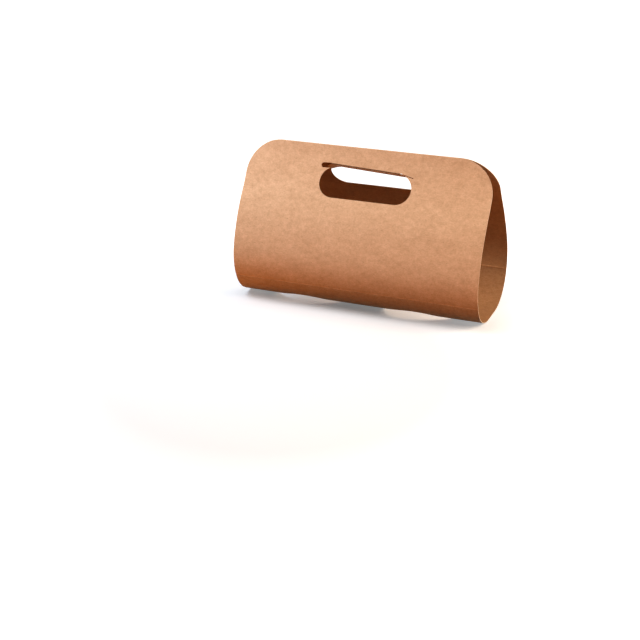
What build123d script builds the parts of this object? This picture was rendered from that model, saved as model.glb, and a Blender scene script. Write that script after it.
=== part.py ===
from build123d import *
from math import cos, pi, radians, sin
import os

# Cardboard carrier for two cups, made from one sheet of kraft board.
# The sheet is bent into a loop, and a flap cut from the near hand slot goes through the far one.
# On the flat sheet, x runs along the handle and t runs from the middle of the sheet to an end.
# Lengths are in millimetres, turns and leans in degrees.

# Flat sheet
width = 230
length = 380
board = 0.6

# Rounded top corners, which start a hair outside the sheet's sides so that they cut clean
corner_radius = 32
corner_run_out = 0.02

# Score lines beside the bottom, pressed into the outer face
bottom_span = 120
score_radius = 0.35
score_depth = 0.2

# Cup holes
cup_hole = 77
cup_pitch = 106

# Hand slots, one in each side panel
slot_length = 86
slot_height = 28
slot_inset = 33

# Bent shape: the flat strip it stands on, then arcs up to each top edge
floor_width = 20
heel_length = 20
belly_length = 30
shoulder_length = 50
near_heel_angle = 23.5
near_curl_angle = 44.5
near_belly_angle = 35.5
near_top_angle = 15
far_heel_angle = 28.5
far_curl_angle = 52.5
far_belly_angle = 33
far_top_angle = 24
top_offset = 9
top_gap = 1

# Hinge line of the flap, a little higher at its left end, with a relief cut at each end
hinge_left = 34.5
hinge_right = 31
hinge_rise_left = 3.3
hinge_rise_right = 0.5
fold_radius = 0.45
relief_reach = 43.5
relief_width_left = 4.6
relief_width_right = 1.2
relief_drop_left = 0.3
relief_drop_right = 3

# Flap: where it crosses the far slot, above the slot's middle, and its pressed down shoulders
lock_height = 6.8
shoulder_start = 34
shoulder_bend = 10

# How far a cutting solid reaches past what it cuts
cut_margin = 5

NEAR = -1
FAR = 1


def arcs_to_top(heel, curl, belly, shoulder, top_lean):
    """Lengths and turns of the arcs of one side, from the floor strip to the top edge."""
    curl_length = (bottom_span - floor_width) / 2 - heel_length
    neck_length = (length - bottom_span) / 2 - belly_length - shoulder_length
    neck = 90 + top_lean - heel - curl - belly - shoulder
    return [
        (heel_length, heel),
        (curl_length, curl),
        (belly_length, belly),
        (shoulder_length, shoulder),
        (neck_length, neck),
    ]


def top_edge(arcs):
    """Distance of the top edge from the middle of the floor strip, and its height."""
    out, height, heading = floor_width / 2, 0, 0
    for arc_length, turn in arcs:
        radius = arc_length / radians(turn)
        next_heading = heading + radians(turn)
        out += radius * (sin(next_heading) - sin(heading))
        height += radius * (cos(heading) - cos(next_heading))
        heading = next_heading
    return out, height


def close_side(heel, curl, belly, top_lean, top_distance):
    """Arcs of one side, with the shoulder's turn found that brings the top edge home."""
    least, most = -60.0, 90.0
    while most - least > 1e-9:
        shoulder = (least + most) / 2
        arcs = arcs_to_top(heel, curl, belly, shoulder, top_lean)
        if top_edge(arcs)[0] > top_distance:
            least = shoulder
        else:
            most = shoulder
    return arcs


# Middle line of the board in the loop's section, from the near top edge round to the far one
half_spacing = (top_gap + board) / 2
near_arcs = close_side(
    near_heel_angle,
    near_curl_angle,
    near_belly_angle,
    near_top_angle,
    half_spacing + top_offset,
)
far_arcs = close_side(
    far_heel_angle,
    far_curl_angle,
    far_belly_angle,
    far_top_angle,
    half_spacing - top_offset,
)
near_distance, near_height = top_edge(near_arcs)

with BuildLine() as loop:
    point = Vector(-near_distance, near_height)
    heading = Vector(0, -1).rotate(Axis.Z, -near_top_angle)
    for arc_length, turn in reversed(near_arcs):
        arc = JernArc(point, heading, arc_length / abs(radians(turn)), turn)
        point, heading = arc @ 1, arc % 1
    floor_strip = Line(point, point + heading * floor_width)
    point = floor_strip @ 1
    for arc_length, turn in far_arcs:
        arc = JernArc(point, heading, arc_length / abs(radians(turn)), turn)
        point, heading = arc @ 1, arc % 1

# The carrier stands on the ground, with the origin under the middle of its depth
middle_line = loop.wire()
loop_box = middle_line.bounding_box()
section_plane = Plane(
    (0, -loop_box.center().X, board / 2), x_dir=(0, 1, 0), z_dir=(1, 0, 0)
)
parting = -top_offset - loop_box.center().X


def sheet_plane(x, t):
    """Plane on the middle of the bent board at the flat point x, t, facing out of the loop."""
    distance = length / 2 + t
    place = middle_line.position_at(distance, position_mode=PositionMode.LENGTH)
    along = middle_line.tangent_at(distance, position_mode=PositionMode.LENGTH)
    origin = section_plane.from_local_coords(Vector(place.X, place.Y, x))
    return Plane(origin, x_dir=(1, 0, 0), z_dir=(0, along.Y, -along.X))


def panel_plane(side):
    """Upright plane between the two top edges, facing out through the panel of one side."""
    return Plane((0, parting, 0), x_dir=(-side, 0, 0), z_dir=(0, side, 0))


def bend_onto(plane, side):
    """The move that carries a flat point to its bent place, as seen square to the plane."""

    def carry(p):
        seen = plane.to_local_coords(sheet_plane(p.X, side * p.Y).origin)
        return Vector(seen.X, seen.Y)

    return carry


def draw_carried(outline, carry):
    """Draw the faces of a flat outline again, with every point moved by carry."""
    points_on_arc = 13
    for face in outline.faces():
        with BuildLine() as boundary:
            for edge in face.outer_wire().edges():
                count = 2 if edge.geom_type == GeomType.LINE else points_on_arc
                carried = [carry(edge @ (i / (count - 1))) for i in range(count)]
                if count == 2:
                    Line(carried)
                elif edge.is_closed:
                    Spline(carried[:-1], periodic=True)
                else:
                    Spline(carried)
        make_face(boundary.edges())


# Outlines on the flat sheet
slot_middle = length / 2 - slot_inset
hinge_start = Vector(-hinge_left, slot_middle + slot_height / 2 + hinge_rise_left)
hinge_end = Vector(hinge_right, slot_middle + slot_height / 2 + hinge_rise_right)
hinge_middle = (hinge_start + hinge_end) / 2

corner_rounding = [
    Vector(width / 2 - corner_radius, length / 2 - corner_radius)
    + Vector((corner_radius + corner_run_out) * cos(angle), corner_radius * sin(angle))
    for angle in (pi / 12 * i for i in range(7))
]

with BuildSketch() as cup_holes:
    with Locations((-cup_pitch / 2, 0), (cup_pitch / 2, 0)):
        Circle(cup_hole / 2)

with BuildSketch() as hand_slot:
    with Locations((0, slot_middle)):
        SlotOverall(slot_length, slot_height)

with BuildSketch() as reliefs:
    for hinge_tip, sign, relief_width, drop in (
        (hinge_start, -1, relief_width_left, relief_drop_left),
        (hinge_end, 1, relief_width_right, relief_drop_right),
    ):
        root = hinge_tip - Vector(0, relief_width / 2)
        tip = Vector(sign * (relief_reach - relief_width / 2), root.Y - drop)
        SlotCenterPoint((root + tip) / 2, tip, relief_width)

with BuildSketch() as flap_outline:
    add(hand_slot.sketch)
    with BuildLine():
        Polyline(
            hinge_start,
            hinge_end,
            (hinge_right, slot_middle),
            (-hinge_left, slot_middle),
            close=True,
        )
    make_face()
    add(reliefs.sketch, mode=Mode.SUBTRACT)

with BuildSketch() as flap_opening:
    add(flap_outline.sketch)
    add(reliefs.sketch)

# Flap: shaped in the plane of its panel, then folded about its hinge through the far slot
flap_plane = sheet_plane(0, NEAR * hinge_middle.Y)
hinge_from = sheet_plane(hinge_start.X, NEAR * hinge_start.Y).origin
hinge_to = sheet_plane(hinge_end.X, NEAR * hinge_end.Y).origin
crossing = sheet_plane(0, FAR * (slot_middle + lock_height)).origin
fold_turn = (-flap_plane.y_dir).get_signed_angle(
    crossing - flap_plane.origin, flap_plane.x_dir
)


def press_down(p):
    """Flat point of the flap, seen square to it once its shoulders are pressed down."""
    past = max(abs(p.X) - shoulder_start, 0)
    x = min(abs(p.X), shoulder_start) + shoulder_bend * sin(past / shoulder_bend)
    return Vector(x if p.X > 0 else -x, p.Y - hinge_middle.Y)


with BuildPart() as flap:
    with BuildSketch(Plane(flap_plane.origin, (1, 0, 0), flap_plane.y_dir)):
        shoulder_turn = (slot_length / 2 - shoulder_start + cut_margin) / shoulder_bend
        with BuildLine():
            Line((-shoulder_start, 0), (shoulder_start, 0))
            for sign in (-1, 1):
                start = (sign * shoulder_start, 0)
                turn = -sign * shoulder_turn * 180 / pi
                JernArc(start, (sign, 0), shoulder_bend, turn)
        trace(line_width=board)
    extrude(amount=slot_height + cut_margin, both=True)
    with BuildSketch(flap_plane):
        draw_carried(flap_outline.sketch, press_down)
    extrude(amount=shoulder_bend, both=True, mode=Mode.INTERSECT)

with BuildPart() as fold:
    with BuildSketch(Plane(hinge_from, z_dir=hinge_to - hinge_from)):
        Circle(fold_radius)
    extrude(amount=(hinge_to - hinge_from).length)

with BuildPart() as carrier:
    with BuildSketch(section_plane):
        trace(middle_line, line_width=board)
        for side in (NEAR, FAR):
            score = sheet_plane(0, side * bottom_span / 2)
            inner = board / 2 + score_depth - score_radius
            outer = board / 2 - score_depth + score_radius
            with Locations(section_plane.to_local_coords(score.origin + score.z_dir * outer)):
                Circle(score_radius, mode=Mode.SUBTRACT)
            with Locations(section_plane.to_local_coords(score.origin - score.z_dir * inner)):
                Circle(score_radius)
    extrude(amount=width / 2, both=True)

    with BuildSketch(Plane.XY.offset(-cut_margin)):
        draw_carried(cup_holes.sketch, bend_onto(Plane.XY, FAR))
    extrude(
        amount=cut_margin + sheet_plane(0, bottom_span / 2).origin.Z, mode=Mode.SUBTRACT
    )

    for side, slot in ((NEAR, flap_opening), (FAR, hand_slot)):
        carry = bend_onto(panel_plane(side), side)
        with BuildSketch(panel_plane(side)):
            draw_carried(slot.sketch, carry)
            for sign in (-1, 1):
                with BuildLine():
                    rounding = Spline([carry(Vector(sign * p.X, p.Y)) for p in corner_rounding])
                    start, end = rounding @ 0, rounding @ 1
                    beside = start.X * (1 + cut_margin / abs(start.X))
                    above = end.Y + cut_margin
                    Polyline(end, (end.X, above), (beside, above), (beside, start.Y), start)
                make_face()
        extrude(amount=loop_box.size.X, mode=Mode.SUBTRACT)

    add(flap.part.rotate(Axis(hinge_from, hinge_to - hinge_from), fold_turn))
    add(fold.part)

carrier.part.label = "carrier"

os.makedirs("parts", exist_ok=True)
export_step(carrier.part, "parts/carrier.step")
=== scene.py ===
from math import atan2, ceil, cos, pi, radians, sin, sqrt

import bpy
import numpy as np
from mathutils import Matrix, Vector
from mathutils.geometry import delaunay_2d_cdt


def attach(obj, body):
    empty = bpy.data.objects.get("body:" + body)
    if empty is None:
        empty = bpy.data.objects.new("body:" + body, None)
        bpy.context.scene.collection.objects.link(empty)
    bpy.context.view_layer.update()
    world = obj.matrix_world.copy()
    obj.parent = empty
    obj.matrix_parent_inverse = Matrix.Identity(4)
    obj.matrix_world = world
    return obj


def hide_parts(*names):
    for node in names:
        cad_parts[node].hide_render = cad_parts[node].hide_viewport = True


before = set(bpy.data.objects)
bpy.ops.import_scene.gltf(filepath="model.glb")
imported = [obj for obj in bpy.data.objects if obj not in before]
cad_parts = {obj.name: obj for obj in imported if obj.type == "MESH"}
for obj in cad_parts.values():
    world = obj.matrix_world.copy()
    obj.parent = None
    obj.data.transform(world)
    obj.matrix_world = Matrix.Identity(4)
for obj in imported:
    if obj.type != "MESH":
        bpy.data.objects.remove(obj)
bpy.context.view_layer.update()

bl_info = {
    "name": "Kraft cup carrier",
    "version": (1, 0, 0),
    "blender": (4, 5, 0),
    "location": "View3D > Sidebar > Carrier",
    "description": "A cup carrier bent from one sheet of kraft board, and the studio it stands in",
    "category": "Add Mesh",
}

NEAR = -1
FAR = 1
MM = 0.001
TO_MM = 1 / MM

# Steps along the flat outlines, and how close the inner points come to them, in millimetres
ARC_STEP = 0.8
RELIEF_STEP = 0.4
LONGEST_SIDE = 2.0
SHORTEST_SIDE = 1e-6
CLEARANCE = 0.9
FOLD_CLEARANCE = 0.2
MERGE_DISTANCE = 1e-4

# Rows of points beside each score line, and the strip that is kept for them, in millimetres
SCORE_ROWS = (-1.2, -0.6, -0.3, 0, 0.3, 0.6, 1.2)
SCORE_SPACE = 1.6

# Rows of points beside the fold, and the strip in which points may come close to the outlines.
# Nearer to the hinge line than the last of these, a point is on it. All in millimetres.
FOLD_ROWS = (-1.2, -0.7, -0.35, 0.25, 0.5, 0.75, 1.0, 1.3, 1.8)
FOLD_ROW_POINTS = 32
FOLD_SPACE = 6
ON_FOLD = 1e-3

# Points whose distances to the outlines are worked out in one go
BLOCK = 4000

# Straight pieces in each arc of the section
ARC_PIECES = 160

# Metres beyond the fold over which the flap's ends become fully pressed down
PRESSING_LENGTH = 0.004

# Half width of the groove along a score line, in metres
SCORE_SPREAD = 0.0004

# Waves of the hand-bent board, and where across the sheet they start and are full, in metres
WAVE_HEIGHT = 0.0006
WAVE_SIZE = 0.06
WAVES_START = 0.015
WAVES_FULL = 0.07

# Middle of the band beyond the fold that is darkened as painted shade, in metres
PAINTED_FOLD_SHADE_MIDDLE = 0.0010

# An edge with a larger turn than this is shaded sharp
SHARP_TURN = radians(40)

# Half the floor's width, in metres
FLOOR_REACH = 6.0

# The sockets of a Map Range node, and the numbers of a Mix node's colour sockets
LIMITS = ("From Min", "From Max", "To Min", "To Max")
FIRST_COLOUR = 6
SECOND_COLOUR = 7
MIXED_COLOUR = 2


class CarrierSizes(bpy.types.PropertyGroup):
    """Sizes of the flat sheet and of its bends."""

    width: bpy.props.FloatProperty(
        name="Width", description="Sheet along the handle", default=0.230, unit="LENGTH"
    )
    length: bpy.props.FloatProperty(
        name="Length", description="Sheet from one top edge to the other",
        default=0.380, unit="LENGTH",
    )
    board: bpy.props.FloatProperty(
        name="Board", description="Thickness of the board", default=0.0006, unit="LENGTH"
    )
    corner_radius: bpy.props.FloatProperty(
        name="Corner", description="Radius of the sheet's corners", default=0.032, unit="LENGTH"
    )
    cup_hole: bpy.props.FloatProperty(
        name="Cup hole", description="Diameter of the cup holes", default=0.077, unit="LENGTH"
    )
    cup_pitch: bpy.props.FloatProperty(
        name="Cup pitch", description="Between the middles of the cup holes",
        default=0.106, unit="LENGTH",
    )
    slot_length: bpy.props.FloatProperty(
        name="Slot length", description="Hand slot along the handle", default=0.086, unit="LENGTH"
    )
    slot_height: bpy.props.FloatProperty(
        name="Slot height", description="Hand slot across the handle",
        default=0.028, unit="LENGTH",
    )
    slot_inset: bpy.props.FloatProperty(
        name="Slot inset", description="From the top edge to the slot's middle",
        default=0.033, unit="LENGTH",
    )
    bottom_span: bpy.props.FloatProperty(
        name="Bottom span", description="Between the score lines", default=0.120, unit="LENGTH"
    )
    score_depth: bpy.props.FloatProperty(
        name="Score depth", description="How deep a score line is pressed",
        default=0.00025, unit="LENGTH",
    )
    floor_width: bpy.props.FloatProperty(
        name="Floor", description="Flat strip it stands on", default=0.020, unit="LENGTH"
    )
    heel_length: bpy.props.FloatProperty(
        name="Heel", description="Length of the gentle arc beside the floor strip",
        default=0.020, unit="LENGTH",
    )
    belly_length: bpy.props.FloatProperty(
        name="Belly", description="Length of the belly arc", default=0.030, unit="LENGTH"
    )
    shoulder_length: bpy.props.FloatProperty(
        name="Shoulder", description="Length of the shoulder arc", default=0.050, unit="LENGTH"
    )
    near_turns: bpy.props.FloatVectorProperty(
        name="Near turns", description="Turn of each near arc, from the floor to the top",
        default=(radians(23.5), radians(44.5), radians(35.5), radians(22.5465), radians(-21.0465)),
        size=5, unit="ROTATION",
    )
    far_turns: bpy.props.FloatVectorProperty(
        name="Far turns", description="Turn of each far arc, from the floor to the top",
        default=(radians(28.5), radians(52.5), radians(33), radians(12.4469), radians(-12.4469)),
        size=5, unit="ROTATION",
    )
    floor_middle: bpy.props.FloatProperty(
        name="Floor middle", description="Place of the floor strip's middle",
        default=0.003420, unit="LENGTH",
    )
    hinge_left: bpy.props.FloatVectorProperty(
        name="Hinge left", description="Left end of the flap's fold, from the sheet's middle",
        default=(-0.0345, 0.1743), size=2, unit="LENGTH",
    )
    hinge_right: bpy.props.FloatVectorProperty(
        name="Hinge right", description="Right end of the flap's fold, from the sheet's middle",
        default=(0.0310, 0.1715), size=2, unit="LENGTH",
    )
    relief_left: bpy.props.FloatVectorProperty(
        name="Relief left", description="Reach, width and drop of the cut at the fold's left end",
        default=(0.0435, 0.0046, 0.0003), size=3, unit="LENGTH",
    )
    relief_right: bpy.props.FloatVectorProperty(
        name="Relief right", description="Reach, width and drop of the cut at the fold's right end",
        default=(0.0435, 0.0007, 0.0030), size=3, unit="LENGTH",
    )
    fold_radius: bpy.props.FloatProperty(
        name="Fold radius", description="Radius of the flap's fold", default=0.0007, unit="LENGTH"
    )
    fold_turn: bpy.props.FloatProperty(
        name="Fold turn", description="How far the flap is folded back",
        default=radians(90.97), unit="ROTATION",
    )
    shoulder_start: bpy.props.FloatProperty(
        name="Flap flat", description="Half of the flap's flat middle",
        default=0.034, unit="LENGTH",
    )
    shoulder_bend: bpy.props.FloatProperty(
        name="Flap bend", description="Radius of the flap's pressed down ends",
        default=0.010, unit="LENGTH",
    )
    grid_step: bpy.props.FloatProperty(
        name="Grid", description="Spacing of the sheet's points", default=0.0025, unit="LENGTH"
    )


class CarrierColours(bpy.types.PropertyGroup):
    """Colours of the board and of the studio."""

    board: bpy.props.StringProperty(
        name="Board", description="Kraft board, sRGB hex", default="#DEAE87"
    )
    board_dark: bpy.props.StringProperty(
        name="Dark fibre", description="Dark clouds and fibres, sRGB hex", default="#C49066"
    )
    board_light: bpy.props.StringProperty(
        name="Light fibre", description="Pale clouds and fibres, sRGB hex", default="#EEC69E"
    )
    # Inside: painted shade that darkens the board's inner face and deepens its colour, for the
    # shade inside the loop
    inside: bpy.props.StringProperty(
        name="Inside", description="What tints the board's inner face, sRGB hex",
        default="#E0CFB7",
    )
    cut_edge: bpy.props.StringProperty(
        name="Cut edge", description="Fresh pulp at the cut edges, sRGB hex", default="#F8E6D2"
    )
    floor: bpy.props.StringProperty(
        name="Floor", description="Floor as it is seen, sRGB hex", default="#F4F4F4"
    )
    # Floor below: painted shade, the dark brown that the floor under the carrier throws back in
    # place of light
    floor_shade_under: bpy.props.StringProperty(
        name="Floor below", description="What the floor under the carrier throws back, sRGB hex",
        default="#2A1A10",
    )
    floor_near: bpy.props.StringProperty(
        name="Floor near", description="What the floor close by throws back, sRGB hex",
        default="#E08E3A",
    )
    floor_far: bpy.props.StringProperty(
        name="Floor far", description="What the floor further off throws back, sRGB hex",
        default="#B08058",
    )


def linear(hex_colour):
    """Linear RGBA of an sRGB hex colour."""
    channels = [int(hex_colour[i:i + 2], 16) / 255 for i in (1, 3, 5)]
    return (*[c / 12.92 if c <= 0.04045 else ((c + 0.055) / 1.055) ** 2.4 for c in channels], 1)


def add_node(tree, kind, inputs=None, **settings):
    """A node of that kind, with its settings, and its inputs linked or set by name or number."""
    node = tree.nodes.new(kind)
    for name, value in settings.items():
        setattr(node, name, value)
    for key, value in (inputs or {}).items():
        if isinstance(value, bpy.types.NodeSocket):
            tree.links.new(value, node.inputs[key])
        else:
            node.inputs[key].default_value = value
    return node


def arc_points(centre, radius, start, end, step):
    """Points of an arc, both ends included."""
    count = max(2, ceil(abs(end - start) * radius / step) + 1)
    angles = [start + (end - start) * i / (count - 1) for i in range(count)]
    return [(centre[0] + radius * cos(a), centre[1] + radius * sin(a)) for a in angles]


def capsule(first, last, radius, step):
    """Outline of a slot whose end arcs stand on two points."""
    heading = atan2(last[1] - first[1], last[0] - first[0])
    return (
        arc_points(last, radius, heading - pi / 2, heading + pi / 2, step)
        + arc_points(first, radius, heading + pi / 2, heading + 3 * pi / 2, step)
    )


def rounded_sheet(width, length, radius, step):
    """Outline of the sheet with its rounded corners."""
    points = []
    for turn, x_side, y_side in ((0, 1, 1), (1, -1, 1), (2, -1, -1), (3, 1, -1)):
        centre = (x_side * (width / 2 - radius), y_side * (length / 2 - radius))
        points += arc_points(centre, radius, turn * pi / 2, (turn + 1) * pi / 2, step)
    return points


def walk(loop, step):
    """The loop with points added so that none of its sides is longer than step."""
    points = []
    for start, end in zip(loop, loop[1:] + loop[:1]):
        across, along = end[0] - start[0], end[1] - start[1]
        gap = sqrt(across ** 2 + along ** 2)
        if gap < SHORTEST_SIDE:
            continue
        count = max(1, ceil(gap / step))
        points += [
            (start[0] + across * i / count, start[1] + along * i / count) for i in range(count)
        ]
    return points


def flat_loops(sizes):
    """Outlines on the flat sheet, in millimetres: x along the handle, y to the far top edge."""
    middle = (sizes.length / 2 - sizes.slot_inset) * TO_MM
    half = (sizes.slot_length - sizes.slot_height) / 2 * TO_MM
    radius = sizes.slot_height / 2 * TO_MM
    left = Vector(sizes.hinge_left) * TO_MM
    right = Vector(sizes.hinge_right) * TO_MM
    loops = {
        "sheet": rounded_sheet(
            sizes.width * TO_MM, sizes.length * TO_MM, sizes.corner_radius * TO_MM, ARC_STEP
        ),
        "far_slot": capsule((-half, middle), (half, middle), radius, ARC_STEP),
        "near_slot": capsule((-half, -middle), (half, -middle), radius, ARC_STEP),
        "flap": [(left.x, -left.y), (right.x, -right.y), (right.x, -middle), (left.x, -middle)],
    }
    for name, side in (("cup_left", -1), ("cup_right", 1)):
        centre = (side * sizes.cup_pitch / 2 * TO_MM, 0)
        loops[name] = arc_points(centre, sizes.cup_hole / 2 * TO_MM, 0, 2 * pi, ARC_STEP)[:-1]
    for name, tip, side, (reach, width, drop) in (
        ("relief_left", left, -1, Vector(sizes.relief_left) * TO_MM),
        ("relief_right", right, 1, Vector(sizes.relief_right) * TO_MM),
    ):
        root = (tip.x, -(tip.y - width / 2))
        end = (side * (reach - width / 2), root[1] + drop)
        loops[name] = capsule(root, end, width / 2, RELIEF_STEP)
    return {name: walk(loop, LONGEST_SIDE) for name, loop in loops.items()}


def grid_points(sizes, loops):
    """Points inside the sheet, in rows along the handle, closer by the score lines and the fold."""
    width, length = sizes.width * TO_MM, sizes.length * TO_MM
    step = sizes.grid_step * TO_MM
    columns = np.linspace(-width / 2, width / 2, int(width / step) + 1)[1:-1]
    score = sizes.bottom_span * TO_MM / 2
    rows = np.arange(-length / 2 + step, length / 2 - step / 2, step)
    rows = [y for y in rows if abs(abs(y) - score) > SCORE_SPACE]
    rows += [side * (score + offset) for side in (NEAR, FAR) for offset in SCORE_ROWS]
    points = [(x, y) for y in rows for x in columns]

    left, right = Vector(sizes.hinge_left) * TO_MM, Vector(sizes.hinge_right) * TO_MM
    for reach in FOLD_ROWS:
        for i in range(1, FOLD_ROW_POINTS + 1):
            share = i / (FOLD_ROW_POINTS + 1)
            hinge_x = left.x + (right.x - left.x) * share
            hinge_y = left.y + (right.y - left.y) * share
            points.append((hinge_x, reach - hinge_y))

    outlines = np.array([point for loop in loops.values() for point in loop])
    kept = []
    for start in range(0, len(points), BLOCK):
        block = np.array(points[start:start + BLOCK])
        nearest = np.sqrt(((block[:, None, :] - outlines[None, :, :]) ** 2).sum(2)).min(1)
        by_fold = np.abs(block[:, 1] + left.y) < FOLD_SPACE
        kept.append(block[nearest > np.where(by_fold, FOLD_CLEARANCE, CLEARANCE)])
    return np.concatenate(kept)


def flat_mesh(sizes):
    """The cut sheet, still flat, as a mesh in metres, with the flap joined only at the fold.

    A point hangs from the place fold_x, fold_y, and reach is how far beyond the fold it is.
    """
    loops = flat_loops(sizes)
    points, outlines = [], []
    for loop in loops.values():
        outlines.append(list(range(len(points), len(points) + len(loop))))
        points += loop
    points = [Vector(p) for p in points] + [Vector(p) for p in grid_points(sizes, loops)]
    verts, _, triangles, _, _, owners = delaunay_2d_cdt(points, [], outlines, 0, MERGE_DISTANCE)

    # The panels are what no hole takes. The flap is what the near slot cuts out, with the strip
    # that joins it to the fold, less the two relief cuts.
    number = {name: i for i, name in enumerate(loops)}
    holes = {i for name, i in number.items() if name != "sheet"}
    in_flap = {number["near_slot"], number["flap"]}
    in_relief = {number["relief_left"], number["relief_right"]}
    panels, flap = [], []
    for triangle, own in zip(triangles, owners):
        if number["sheet"] in own and not holes.intersection(own):
            panels.append(triangle)
        elif in_flap.intersection(own) and not in_relief.intersection(own):
            flap.append(triangle)

    left, right = Vector(sizes.hinge_left) * TO_MM, Vector(sizes.hinge_right) * TO_MM
    start, hinge = Vector((left.x, -left.y)), Vector((right.x - left.x, left.y - right.y))
    along = hinge.normalized()
    beyond = Vector((-along.y, along.x))
    used, flat, reaches = {}, [], []

    def corner(index, on_flap):
        """Number of a panel's or the flap's own copy of a point, which they share on the fold."""
        point = verts[index]
        away = (point - start).dot(beyond)
        run = (point - start).dot(along)
        on_fold = abs(away) < ON_FOLD and -ON_FOLD < run < hinge.length + ON_FOLD
        hangs = on_flap and not on_fold
        if (index, hangs) not in used:
            used[index, hangs] = len(flat)
            flat.append((point.x * MM, point.y * MM, 0))
            reaches.append(max(away, 0) * MM if hangs else 0.0)
        return used[index, hangs]

    faces = [[corner(i, False) for i in triangle] for triangle in panels]
    faces += [[corner(i, True) for i in triangle] for triangle in flap]
    mesh = bpy.data.meshes.new("flat sheet")
    mesh.from_pydata(flat, [], faces)

    flat = np.array(flat)
    reach = np.array(reaches)
    on_hinge = start.y * MM + (flat[:, 0] - start.x * MM) * along.y / along.x
    fold_y = np.where(reach > 0, on_hinge, flat[:, 1])
    for name, values in (("fold_x", flat[:, 0]), ("fold_y", fold_y), ("reach", reach)):
        attribute = mesh.attributes.new(name, "FLOAT", "POINT")
        attribute.data.foreach_set("value", values.astype(np.float32))
    uv = mesh.uv_layers.new(name="flat")
    for loop in mesh.loops:
        uv.data[loop.index].uv = flat[loop.vertex_index][:2]
    mesh.update()
    return mesh


def section_curve(sizes):
    """The middle line of the board round the loop, from the near top edge to the far one."""
    curl = (sizes.bottom_span - sizes.floor_width) / 2 - sizes.heel_length
    neck = (sizes.length - sizes.bottom_span) / 2 - sizes.belly_length - sizes.shoulder_length
    lengths = (sizes.heel_length, curl, sizes.belly_length, sizes.shoulder_length, neck)
    sides = []
    for turns, side in ((sizes.near_turns, NEAR), (sizes.far_turns, FAR)):
        y, z, heading = sizes.floor_width / 2, sizes.board / 2, 0.0
        points = [(y, z)]
        for arc_length, turn in zip(lengths, turns):
            bend = turn / ARC_PIECES
            piece = arc_length / ARC_PIECES * sin(bend / 2) / (bend / 2)
            for _ in range(ARC_PIECES):
                y += piece * cos(heading + bend / 2)
                z += piece * sin(heading + bend / 2)
                heading += bend
                points.append((y, z))
        sides.append([(side * y + sizes.floor_middle, z) for y, z in points])
    near, far = sides
    line = near[::-1] + far
    curve = bpy.data.curves.new("section", "CURVE")
    curve.dimensions = "3D"
    spline = curve.splines.new("POLY")
    spline.points.add(len(line) - 1)
    for point, (y, z) in zip(spline.points, line):
        point.co = (0, y, z, 1)
    holder = bpy.data.objects.new("section", curve)
    bpy.context.scene.collection.objects.link(holder)
    return holder


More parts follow.
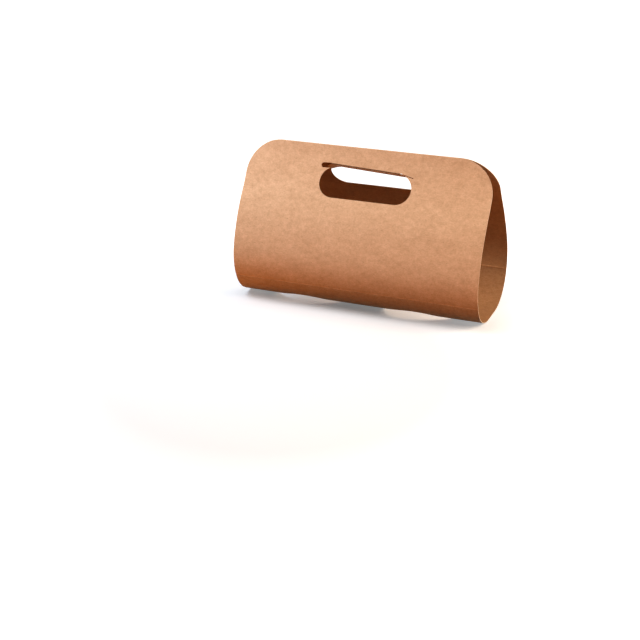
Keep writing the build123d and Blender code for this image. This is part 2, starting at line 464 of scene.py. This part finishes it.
def bending_tree(inner_material):
    """Geometry nodes that wrap the flat sheet along the section and fold the flap back."""
    tree = bpy.data.node_groups.new("Bend the sheet", "GeometryNodeTree")
    group = tree.interface
    group.new_socket(name="Geometry", in_out="OUTPUT", socket_type="NodeSocketGeometry")
    group.new_socket(name="Geometry", in_out="INPUT", socket_type="NodeSocketGeometry")
    group.new_socket(name="Section", in_out="INPUT", socket_type="NodeSocketObject")
    for name in (
        "Half length", "Fold radius", "Fold turn", "Flat half", "End bend",
        "Score place", "Score depth", "Wave height", "Wave size",
    ):
        group.new_socket(name=name, in_out="INPUT", socket_type="NodeSocketFloat")
    values = {socket.name: socket for socket in add_node(tree, "NodeGroupInput").outputs}
    for name in ("fold_x", "fold_y", "reach"):
        values[name] = add_node(
            tree, "GeometryNodeInputNamedAttribute", {"Name": name}, data_type="FLOAT"
        ).outputs[0]

    # Slow waves over the flat sheet, none at the strip it stands on
    values["across"] = add_node(
        tree, "ShaderNodeMath", {0: values["fold_y"]}, operation="ABSOLUTE"
    ).outputs[0]
    flat_place = add_node(
        tree, "ShaderNodeCombineXYZ",
        {0: values["fold_x"], 1: values["fold_y"], 2: values["reach"]},
    ).outputs[0]
    wave_place = add_node(
        tree, "ShaderNodeVectorMath", {0: flat_place, 1: values["Wave size"]}, operation="DIVIDE"
    ).outputs[0]
    values["wave"] = add_node(
        tree, "ShaderNodeTexNoise", {"Vector": wave_place, "Scale": 1.0, "Detail": 1.0}
    ).outputs[0]
    values["free"] = add_node(
        tree, "ShaderNodeMapRange",
        {"Value": values["across"], "From Min": WAVES_START, "From Max": WAVES_FULL},
        interpolation_type="SMOOTHSTEP",
    ).outputs[0]

    for name, operation, *terms in (
        # The fold: an arc of the fold radius, then straight on
        ("turn to there", "DIVIDE", "reach", "Fold radius"),
        ("turn", "MINIMUM", "turn to there", "Fold turn"),
        ("on arc", "MULTIPLY", "turn", "Fold radius"),
        ("straight", "SUBTRACT", "reach", "on arc"),
        ("sine", "SINE", "turn"),
        ("cosine", "COSINE", "turn"),
        ("straight down", "MULTIPLY", "straight", "cosine"),
        ("hang", "MULTIPLY_ADD", "Fold radius", "sine", "straight down"),
        ("versine", "SUBTRACT", 1.0, "cosine"),
        ("straight in", "MULTIPLY", "straight", "sine"),
        ("inward", "MULTIPLY_ADD", "Fold radius", "versine", "straight in"),

        # The flap's ends, pressed down round an arc
        ("side", "ABSOLUTE", "fold_x"),
        ("past flat", "SUBTRACT", "side", "Flat half"),
        ("end length", "MAXIMUM", "past flat", 0.0),
        ("end turn", "DIVIDE", "end length", "End bend"),
        ("end sine", "SINE", "end turn"),
        ("end cosine", "COSINE", "end turn"),
        ("end versine", "SUBTRACT", 1.0, "end cosine"),
        ("flat part", "MINIMUM", "side", "Flat half"),
        ("pressed side", "MULTIPLY_ADD", "End bend", "end sine", "flat part"),
        ("drawn in", "SUBTRACT", "pressed side", "side"),
        ("end fall", "MULTIPLY", "End bend", "end versine"),
        ("share there", "DIVIDE", "reach", PRESSING_LENGTH),
        ("share", "MINIMUM", "share there", 1.0),
        ("droop", "MULTIPLY", "share", "end fall"),
        ("shift", "MULTIPLY", "share", "drawn in"),
        ("left or right", "SIGN", "fold_x"),
        ("x", "MULTIPLY_ADD", "left or right", "shift", "fold_x"),
        ("down", "MULTIPLY_ADD", "droop", "sine", "hang"),
        ("droop out", "MULTIPLY", "droop", "cosine"),
        ("flap out", "SUBTRACT", "droop out", "inward"),

        # The score lines, pressed in from outside
        ("off score", "SUBTRACT", "across", "Score place"),
        ("off in spreads", "DIVIDE", "off score", SCORE_SPREAD),
        ("square", "MULTIPLY", "off in spreads", "off in spreads"),
        ("falling", "MULTIPLY", "square", -1.0),
        ("pressing", "EXPONENT", "falling"),
        ("groove", "MULTIPLY", "pressing", "Score depth"),
        ("scored", "SUBTRACT", "flap out", "groove"),

        # The waves' height, and all that moves a point out of the sheet
        ("swing", "SUBTRACT", "wave", 0.5),
        ("full ripple", "MULTIPLY", "swing", "Wave height"),
        ("ripple", "MULTIPLY", "full ripple", "free"),
        ("out", "ADD", "scored", "ripple"),

        # Where on the section the point hangs
        ("from near edge", "ADD", "fold_y", "Half length"),
    ):
        inputs = {i: values.get(term, term) for i, term in enumerate(terms)}
        values[name] = add_node(tree, "ShaderNodeMath", inputs, operation=operation).outputs[0]

    section = add_node(
        tree, "GeometryNodeObjectInfo", {"Object": values["Section"]}
    ).outputs["Geometry"]
    sample = add_node(
        tree, "GeometryNodeSampleCurve", {"Curves": section, "Length": values["from near edge"]},
        mode="LENGTH", use_all_curves=True,
    ).outputs
    outward = add_node(
        tree, "ShaderNodeVectorMath", {0: sample["Tangent"], 1: (1, 0, 0)},
        operation="CROSS_PRODUCT",
    ).outputs[0]
    place = sample["Position"]
    for direction, amount in (((1, 0, 0), "x"), (sample["Tangent"], "down"), (outward, "out")):
        place = add_node(
            tree, "ShaderNodeVectorMath", {0: direction, 1: values[amount], 2: place},
            operation="MULTIPLY_ADD",
        ).outputs[0]
    bent = add_node(
        tree, "GeometryNodeSetPosition", {"Geometry": values["Geometry"], "Position": place}
    ).outputs[0]
    real = add_node(tree, "GeometryNodeRealizeInstances", {"Geometry": bent}).outputs[0]
    done = add_node(
        tree, "GeometryNodeSetMaterial", {"Geometry": real, "Material": inner_material}
    ).outputs[0]
    add_node(tree, "NodeGroupOutput", {"Geometry": done})
    return tree


def set_inputs(modifier, values):
    """Set a geometry nodes modifier's inputs, by their sockets' identifiers."""
    items = modifier.node_group.interface.items_tree
    sockets = {item.name: item.identifier for item in items if item.in_out == "INPUT"}
    for name, value in values.items():
        modifier[sockets[name]] = value


def kraft_board(sizes, colours, name, tint):
    """Unbleached kraft board, pressed from long fibres: matt, a little mottled, finely specked."""
    material = bpy.data.materials.new(name)
    material.use_nodes = True
    tree = material.node_tree
    shader = tree.nodes["Principled BSDF"]
    place = add_node(tree, "ShaderNodeUVMap", uv_map="flat").outputs[0]
    values = {
        "y": add_node(tree, "ShaderNodeSeparateXYZ", {0: place}).outputs["Y"],
        "reach": add_node(tree, "ShaderNodeAttribute", attribute_name="reach").outputs["Fac"],
    }

    # Each pattern's size in millimetres and its stretch along the fibres. Pulp settles in clouds of
    # about a centimetre, and in flocks of a few millimetres within them. Fibres are 0.03 mm wide
    # and specks of bark 0.2 mm, too fine to show, so both are drawn as coarse as they need to be.
    for pattern, size, stretch, detail, rough in (
        ("clouds", 12, 1.5, 4.0, 0.6),
        ("flocks", 3.6, 1.2, 2.0, 0.5),
        ("fibres", 1.2, 1.4, 3.0, 0.65),
        ("specks", 0.9, 1.6, 1.0, 0.5),
    ):
        rate = 1 / (size * MM)
        spread = add_node(
            tree, "ShaderNodeMapping", {"Vector": place, "Scale": (rate / stretch, rate, 1)}
        ).outputs[0]
        values[pattern] = add_node(
            tree, "ShaderNodeTexNoise",
            {"Vector": spread, "Scale": 1.0, "Detail": detail, "Roughness": rough},
        ).outputs[0]

    # Distances from the score lines and from the middle of the painted shade beyond the fold, in
    # metres
    for result, operation, *terms in (
        ("across", "ABSOLUTE", "y"),
        ("past score", "SUBTRACT", "across", sizes.bottom_span / 2),
        ("from score", "ABSOLUTE", "past score"),
        ("past crease", "SUBTRACT", "reach", PAINTED_FOLD_SHADE_MIDDLE),
        ("from crease", "ABSOLUTE", "past crease"),
    ):
        inputs = {i: values.get(term, term) for i, term in enumerate(terms)}
        values[result] = add_node(tree, "ShaderNodeMath", inputs, operation=operation).outputs[0]

    # The share of pale fibre, and what the other patterns and the lines do to the brightness
    for result, value, *limits in (
        ("fibre", "fibres", 0.35, 0.65, 0.0, 1.0),
        ("cloud", "clouds", 0.3, 0.7, 0.94, 1.06),
        ("flock", "flocks", 0.3, 0.7, 0.94, 1.06),
        ("speck", "specks", 0.66, 0.76, 1.0, 0.82),
        # The board is paler along the score line, and below it a little darker as painted shade of
        # the curl
        ("ridge", "from score", 0.0003, 0.0009, 1.10, 1.0),
        ("below", "past score", -0.0012, -0.0004, 0.90, 1.0),
        # Painted shade: the board just beyond the fold is darkened to a third, for the shade in the
        # fold
        ("painted_fold_shade", "from crease", 0.0008, 0.0010, 0.32, 1.0),
    ):
        inputs = {"Value": values[value], **dict(zip(LIMITS, limits))}
        values[result] = add_node(tree, "ShaderNodeMapRange", inputs).outputs[0]

    # About a third of the board's colour comes from its dark and pale fibres
    fibrous = add_node(
        tree, "ShaderNodeMix",
        {
            "Factor": values["fibre"],
            FIRST_COLOUR: linear(colours.board_dark),
            SECOND_COLOUR: linear(colours.board_light),
        },
        data_type="RGBA",
    ).outputs[MIXED_COLOUR]
    even = add_node(
        tree, "ShaderNodeMix",
        {"Factor": 0.32, FIRST_COLOUR: linear(colours.board), SECOND_COLOUR: fibrous},
        data_type="RGBA",
    ).outputs[MIXED_COLOUR]

    # Darker pulp is deeper in colour as well, so its gamma rises as its brightness falls
    pulp = values["cloud"]
    for other in ("speck", "flock"):
        pulp = add_node(
            tree, "ShaderNodeMath", {0: pulp, 1: values[other]}, operation="MULTIPLY"
        ).outputs[0]
    gamma = add_node(tree, "ShaderNodeMath", {0: pulp, 1: -0.6}, operation="POWER").outputs[0]
    brighter = add_node(
        tree, "ShaderNodeVectorMath", {0: even, "Scale": pulp}, operation="SCALE"
    ).outputs[0]
    colour = add_node(tree, "ShaderNodeGamma", {"Color": brighter, "Gamma": gamma}).outputs[0]
    # The paler line along the score, and the painted shade below it and in the fold, scale the
    # colour
    for line in ("ridge", "below", "painted_fold_shade"):
        colour = add_node(
            tree, "ShaderNodeVectorMath", {0: colour, "Scale": values[line]}, operation="SCALE"
        ).outputs[0]
    # On the inner face the tint darkens the colour as painted shade; on the outer face it is white
    tinted = add_node(
        tree, "ShaderNodeVectorMath", {0: colour, 1: linear(tint)[:3]}, operation="MULTIPLY"
    ).outputs[0]
    tree.links.new(tinted, shader.inputs["Base Color"])
    shader.inputs["Roughness"].default_value = 0.82
    shader.inputs["Specular IOR Level"].default_value = 0.25
    bump = add_node(
        tree, "ShaderNodeBump",
        {"Height": values["fibres"], "Strength": 0.25, "Distance": 0.08 * MM},
    ).outputs[0]
    tree.links.new(bump, shader.inputs["Normal"])
    return material


def cut_board(colours):
    """Die-cut edge of the board: fresh torn pulp, paler and rougher than the pressed faces."""
    material = bpy.data.materials.new("Cut kraft pulp")
    material.use_nodes = True
    tree = material.node_tree
    shader = tree.nodes["Principled BSDF"]
    place = add_node(tree, "ShaderNodeTexCoord").outputs["Object"]

    # The torn ends of fibres are under 0.1 mm wide, so they are drawn eight times as coarse
    torn = add_node(
        tree, "ShaderNodeTexNoise", {"Vector": place, "Scale": 1 / (0.8333 * MM), "Detail": 2.0}
    ).outputs[0]
    tone = add_node(
        tree, "ShaderNodeMix",
        {
            "Factor": torn,
            FIRST_COLOUR: linear(colours.board_light),
            SECOND_COLOUR: linear(colours.cut_edge),
        },
        data_type="RGBA",
    ).outputs[MIXED_COLOUR]
    tree.links.new(tone, shader.inputs["Base Color"])
    shader.inputs["Roughness"].default_value = 0.95
    shader.inputs["Specular IOR Level"].default_value = 0.1
    return material


def looked_at(tree):
    """1 where a surface is seen, also in gloss or glass, and 0 where it only throws light."""
    path = add_node(tree, "ShaderNodeLightPath").outputs
    seen = path["Is Camera Ray"]
    for ray in ("Is Glossy Ray", "Is Transmission Ray"):
        seen = add_node(
            tree, "ShaderNodeMath", {0: seen, 1: path[ray]}, operation="MAXIMUM"
        ).outputs[0]
    return seen


def studio_floor(colours):
    """Matt white paper sweep, which looks white and throws back less light than it shows, and under
    the carrier only painted shade.
    """
    material = bpy.data.materials.new("Matt white paper sweep")
    material.use_nodes = True
    tree = material.node_tree
    shader = tree.nodes["Principled BSDF"]
    seen = looked_at(tree)
    place = add_node(tree, "ShaderNodeTexCoord").outputs["Object"]

    # How far off a point is: from a place in front of the carrier, in metres, and from the middle
    # of the long patch of painted shade that lies below the carrier and right of it, in shares of
    # that patch
    values = {}
    for name, location, scale in (
        ("front", (0.02, 0.17, 0), (1, 1, 1)),
        ("patch", (-0.25, 0, 0), (1 / 0.24, 1 / 0.09, 1)),
    ):
        centred = add_node(
            tree, "ShaderNodeMapping", {"Vector": place, "Location": location, "Scale": scale}
        ).outputs[0]
        values[name] = add_node(
            tree, "ShaderNodeVectorMath", {0: centred}, operation="LENGTH"
        ).outputs["Value"]
    for result, value, *limits in (
        ("far", "front", 0.20, 0.45, 0.0, 1.0),
        ("open", "patch", 0.7, 1.1, 0.0, 1.0),
        # The glow that makes it white is weak close by, where the carrier's shadow lies
        ("glow", "front", 0.14, 0.36, 0.15, 1.0),
    ):
        inputs = {"Value": values[value], **dict(zip(LIMITS, limits))}
        values[result] = add_node(tree, "ShaderNodeMapRange", inputs).outputs[0]

    thrown = add_node(
        tree, "ShaderNodeMix",
        {
            "Factor": values["far"],
            FIRST_COLOUR: linear(colours.floor_near),
            SECOND_COLOUR: linear(colours.floor_far),
        },
        data_type="RGBA",
    ).outputs[MIXED_COLOUR]
    # Painted shade: below the carrier and right of it the floor throws back only that dark brown
    dimmed = add_node(
        tree, "ShaderNodeMix",
        {
            "Factor": values["open"],
            FIRST_COLOUR: linear(colours.floor_shade_under),
            SECOND_COLOUR: thrown,
        },
        data_type="RGBA",
    ).outputs[MIXED_COLOUR]
    shown = add_node(
        tree, "ShaderNodeMix",
        {"Factor": seen, FIRST_COLOUR: dimmed, SECOND_COLOUR: linear(colours.floor)},
        data_type="RGBA",
    ).outputs[MIXED_COLOUR]
    tree.links.new(shown, shader.inputs["Base Color"])
    shader.inputs["Roughness"].default_value = 0.9
    shader.inputs["Emission Color"].default_value = (1, 1, 1, 1)
    strength = add_node(
        tree, "ShaderNodeMath", {0: values["glow"], 1: seen}, operation="MULTIPLY"
    ).outputs[0]
    tree.links.new(strength, shader.inputs["Emission Strength"])
    return material


def studio_world():
    """White surroundings to look at, which light the board only softly."""
    world = bpy.data.worlds.new("studio")
    world.use_nodes = True
    tree = world.node_tree
    background = tree.nodes["Background"]
    background.inputs["Color"].default_value = (1, 1, 1, 1)
    strength = add_node(
        tree, "ShaderNodeMapRange", {"Value": looked_at(tree), "To Min": 0.02, "To Max": 1.0}
    ).outputs[0]
    tree.links.new(strength, background.inputs["Strength"])
    return world


class CARRIER_OT_sheet(bpy.types.Operator):
    """Cut the flat sheet, bend it into its loop and fold the flap back"""

    bl_idname = "carrier.sheet"
    bl_label = "Folded sheet"

    def execute(self, context):
        sizes, colours = context.scene.carrier_sizes, context.scene.carrier_colours
        outer = kraft_board(sizes, colours, "Kraft board", "#FFFFFF")
        # The inner face is darkened by its tint, as painted shade inside the loop
        inner = kraft_board(sizes, colours, "Kraft board inside", colours.inside)
        cut = cut_board(colours)
        mesh = flat_mesh(sizes)
        for material in (inner, outer, cut):
            mesh.materials.append(material)
        blank = bpy.data.objects.new("flat sheet", mesh)
        context.scene.collection.objects.link(blank)
        section = section_curve(sizes)
        bend = blank.modifiers.new("bend", "NODES")
        bend.node_group = bending_tree(inner)
        set_inputs(bend, {
            "Section": section, "Half length": sizes.length / 2,
            "Fold radius": sizes.fold_radius, "Fold turn": sizes.fold_turn,
            "Flat half": sizes.shoulder_start, "End bend": sizes.shoulder_bend,
            "Score place": sizes.bottom_span / 2, "Score depth": sizes.score_depth,
            "Wave height": WAVE_HEIGHT, "Wave size": WAVE_SIZE,
        })

        # The outer face and the cut edge count on from the inner face's material
        thicken = blank.modifiers.new("thicken", "SOLIDIFY")
        thicken.thickness = sizes.board
        thicken.offset = 0
        thicken.use_even_offset = True
        thicken.material_offset = 1
        thicken.material_offset_rim = 2
        context.view_layer.update()
        evaluated = blank.evaluated_get(context.evaluated_depsgraph_get())
        final = bpy.data.meshes.new_from_object(evaluated)
        final.name = "carrier_sheet"
        final.shade_smooth()
        final.set_sharp_from_angle(angle=SHARP_TURN)
        sheet = bpy.data.objects.new("carrier_sheet", final)
        context.scene.collection.objects.link(sheet)
        bpy.data.objects.remove(blank)
        bpy.data.objects.remove(section)
        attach(sheet, "root")
        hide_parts("carrier")
        return {"FINISHED"}


class CARRIER_OT_stage(bpy.types.Operator):
    """Pale floor, soft lamps and the camera"""

    bl_idname = "carrier.stage"
    bl_label = "Stage"

    def execute(self, context):
        scene = context.scene
        mesh = bpy.data.meshes.new("floor")
        corners = [
            (side_x * FLOOR_REACH, side_y * FLOOR_REACH, 0)
            for side_x, side_y in ((-1, -1), (1, -1), (1, 1), (-1, 1))
        ]
        mesh.from_pydata(corners, [], [(0, 1, 2, 3)])
        floor = bpy.data.objects.new("floor", mesh)
        scene.collection.objects.link(floor)
        mesh.materials.append(studio_floor(scene.carrier_colours))
        scene.world = studio_world()

        # A large lamp above the front, a warm one past the right end, a weak cool one at the left
        lit_point = Vector((0, -0.02, 0.10))
        for name, place, size, power, tint in (
            ("key", (-0.12, -0.30, 0.60), 0.40, 1.92, (1, 1, 1)),
            ("side", (0.68, -0.06, 0.44), 0.40, 5.6, (1, 0.82, 0.65)),
            ("window", (-0.28, -0.12, 0.32), 0.15, 0.68, (0.72, 0.84, 1)),
        ):
            lamp = bpy.data.lights.new(name, "AREA")
            lamp.size = size
            lamp.energy = power
            lamp.color = tint
            holder = bpy.data.objects.new(name, lamp)
            holder.location = place
            beam = lit_point - Vector(place)
            holder.rotation_euler = beam.to_track_quat("-Z", "Y").to_euler()
            scene.collection.objects.link(holder)
        scene.view_settings.view_transform = "Standard"

        # The camera looks at the aim from above the front, and is then slid left and down
        azimuth, elevation, roll = radians(22.37), radians(23.19), radians(-0.24)
        aim = Vector((0, 0.002889, 0.0703))
        distance, slide_left, slide_down = 1.133, 0.04756, 0.08539
        level = cos(elevation)
        right = Vector((cos(azimuth), sin(azimuth), 0))
        back = Vector((sin(azimuth) * level, -cos(azimuth) * level, sin(elevation)))
        up = back.cross(right)
        across = right * cos(roll) + up * sin(roll)
        upright = up * cos(roll) - right * sin(roll)
        place = aim + back * distance - across * slide_left - upright * slide_down
        camera_data = bpy.data.cameras.new("camera")
        camera_data.sensor_width = 36
        camera_data.lens = 70.18
        camera = bpy.data.objects.new("camera", camera_data)
        camera.matrix_world = Matrix((
            (across.x, upright.x, back.x, place.x),
            (across.y, upright.y, back.y, place.y),
            (across.z, upright.z, back.z, place.z),
            (0, 0, 0, 1),
        ))
        scene.collection.objects.link(camera)
        scene.camera = camera
        return {"FINISHED"}


class CARRIER_PT_panel(bpy.types.Panel):
    """Buttons and settings in the sidebar"""

    bl_idname = "CARRIER_PT_panel"
    bl_label = "Kraft cup carrier"
    bl_space_type = "VIEW_3D"
    bl_region_type = "UI"
    bl_category = "Carrier"

    def draw(self, context):
        for operator in (CARRIER_OT_sheet, CARRIER_OT_stage):
            self.layout.operator(operator.bl_idname)
        for group in (context.scene.carrier_sizes, context.scene.carrier_colours):
            for name in group.bl_rna.properties.keys():
                if name not in ("rna_type", "name"):
                    self.layout.prop(group, name)


CLASSES = (CarrierSizes, CarrierColours, CARRIER_OT_sheet, CARRIER_OT_stage, CARRIER_PT_panel)


def register():
    for cls in CLASSES:
        bpy.utils.register_class(cls)
    bpy.types.Scene.carrier_sizes = bpy.props.PointerProperty(type=CarrierSizes)
    bpy.types.Scene.carrier_colours = bpy.props.PointerProperty(type=CarrierColours)


def unregister():
    del bpy.types.Scene.carrier_colours
    del bpy.types.Scene.carrier_sizes
    for cls in reversed(CLASSES):
        bpy.utils.unregister_class(cls)


def main():
    register()
    bpy.ops.carrier.sheet()
    bpy.ops.carrier.stage()


if __name__ == "__main__":
    main()
